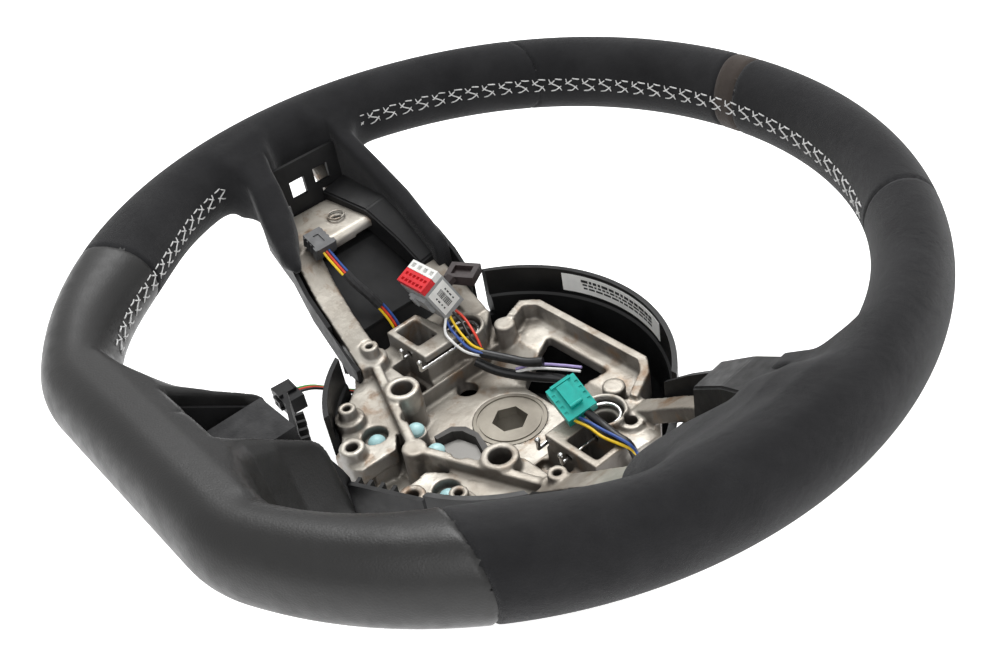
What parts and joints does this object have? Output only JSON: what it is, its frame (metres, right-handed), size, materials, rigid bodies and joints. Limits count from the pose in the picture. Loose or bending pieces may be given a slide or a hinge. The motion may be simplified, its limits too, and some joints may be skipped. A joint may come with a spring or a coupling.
{
  "type": "steering wheel",
  "caption": "Flat-bottomed three-spoke steering wheel with its airbag and switches out, showing the cast hub, lock springs, unplugged leads and round rear cover.",
  "frame": {"origin": "centre of the hub insert's front face", "axes": "+Z along the steering column's axis towards the driver, +Y to twelve o'clock, +X to the driver's right"},
  "size_m": [0.375, 0.364, 0.153],
  "materials": {
    "cast_alloy": "satin",
    "steel": "satin",
    "foam": "matte",
    "leather": "satin",
    "suede": "matte",
    "marker_suede": "matte",
    "thread": "matte",
    "cover_plastic": "matte",
    "label": "satin",
    "spring_steel": "polished",
    "carrier_plastic": "matte",
    "grommet_rubber": "satin",
    "damper_metal": "satin",
    "strap_plastic": "matte",
    "plug_grey": "satin",
    "plug_red": "gloss",
    "plug_white": "gloss",
    "clip_plastic": "matte",
    "plug_teal": "satin",
    "plug_dark_grey": "matte",
    "plug_black": "matte",
    "wire_black": "satin",
    "wire_yellow": "satin",
    "wire_blue": "satin",
    "wire_white": "satin",
    "wire_red": "satin",
    "wire_lilac": "satin",
    "wire_green": "satin",
    "sheath": "matte"
  },
  "bodies": {
    "wheel": {"armature": "cast_alloy", "hub_insert": "steel", "rim_foam": "foam", "cover_leather_lower": "leather", "cover_suede_left": "suede", "cover_suede_top_left": "suede", "cover_suede_top_right": "suede", "cover_suede_right": "suede", "marker_band": "marker_suede", "seam_thread": "thread", "rear_cover": "cover_plastic", "rear_cover_label": "label", "rear_cover_screws": "steel", "spoke_carrier_left": "carrier_plastic", "spoke_carrier_right": "carrier_plastic", "spoke_carrier_lower": "carrier_plastic", "spoke_pad_lower": "foam", "hub_grommets": "grommet_rubber", "damper_plate": "damper_metal", "damper_strap": "strap_plastic", "airbag_plug_body": "plug_grey", "airbag_plug_cap": "plug_white", "airbag_plug_label": "label", "harness_clip": "clip_plastic", "teal_plug_body": "plug_teal", "switch_plug_body": "plug_dark_grey", "heater_plug_body": "plug_black", "airbag_wire_black": "wire_black", "airbag_wire_yellow": "wire_yellow", "airbag_wire_blue": "wire_blue", "airbag_wire_white": "wire_white", "airbag_wire_red": "wire_red", "airbag_sheath_upper": "sheath", "airbag_sheath_lower": "sheath", "airbag_tail_white": "wire_white", "airbag_tail_lilac": "wire_lilac", "teal_wire_yellow": "wire_yellow", "teal_wire_blue": "wire_blue", "teal_sheath": "sheath", "switch_wire_yellow": "wire_yellow", "switch_wire_red": "wire_red", "switch_wire_blue": "wire_blue", "switch_sleeve": "sheath", "heater_wire_red": "wire_red", "heater_wire_black": "wire_black", "heater_wire_green": "wire_green"},
    "left_lock_spring": {"lock_spring_left": "spring_steel"},
    "right_lock_spring": {"lock_spring_right": "spring_steel"},
    "plug_lock": {"airbag_plug_lock": "plug_red"},
    "teal_latch": {"teal_plug_latch": "plug_teal"},
    "heater_latch": {"heater_plug_latch": "plug_black"}
  },
  "joints": [
    {"name": "left_lock_slide", "type": "slide", "parent": "wheel", "child": "left_lock_spring", "axis": [0, -1, 0], "range_m": [0, 0.003], "stiffness_N_per_m": 400},
    {"name": "right_lock_slide", "type": "slide", "parent": "wheel", "child": "right_lock_spring", "axis": [0, -1, 0], "range_m": [0, 0.003], "stiffness_N_per_m": 400},
    {"name": "plug_lock_slide", "type": "slide", "parent": "wheel", "child": "plug_lock", "axis": [-0.0938, -0.4037, 0.9101], "range_m": [0, 0.0018]},
    {"name": "teal_latch_press", "type": "hinge", "parent": "wheel", "child": "teal_latch", "pos_m": [0.04899, 0.00165, 0.03704], "axis": [-0.2469, -0.9389, -0.24], "range_deg": [0, 4], "stiffness_Nm_per_rad": 0.05},
    {"name": "heater_latch_press", "type": "hinge", "parent": "wheel", "child": "heater_latch", "pos_m": [-0.0727, -0.07011, 0.029], "axis": [0.9962, -0.0872, 0], "range_deg": [0, 2.5], "stiffness_Nm_per_rad": 0.05}
  ]
}
